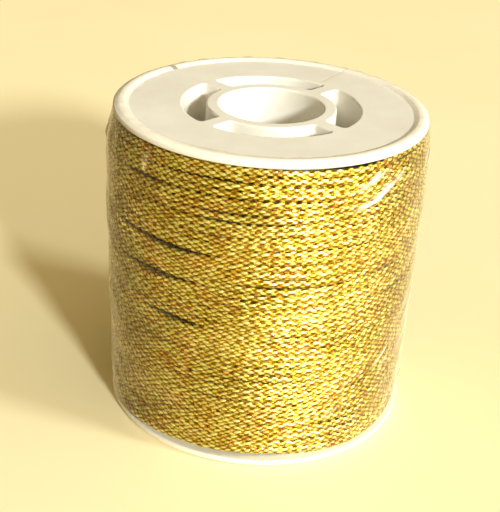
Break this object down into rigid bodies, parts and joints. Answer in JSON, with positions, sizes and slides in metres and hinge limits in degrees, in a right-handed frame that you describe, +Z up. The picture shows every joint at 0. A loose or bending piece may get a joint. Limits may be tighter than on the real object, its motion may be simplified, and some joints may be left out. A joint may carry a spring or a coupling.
{
  "type": "spool of thread",
  "caption": "Moulded spool with a webbed hub, wound full with braided metallic cord and held in a clear shrink sleeve.",
  "frame": {"origin": "centre of the base, on the plane the spool stands on", "axes": "+Z up along the spool's axis; +X and +Y lie between the hub's webs, which are on the diagonals"},
  "size_m": [0.0508, 0.0508, 0.0505],
  "materials": {
    "spool_plastic": "moulded white plastic, satin",
    "metallic_cord": "braided gold metallic yarn",
    "clear_film": "clear heat-shrunk film, glossy and creased"
  },
  "bodies": {
    "root": {"lower_spool_half": "spool_plastic", "upper_spool_half": "spool_plastic", "wound_cord": "metallic_cord", "shrink_sleeve": "clear_film"}
  },
  "joints": []
}
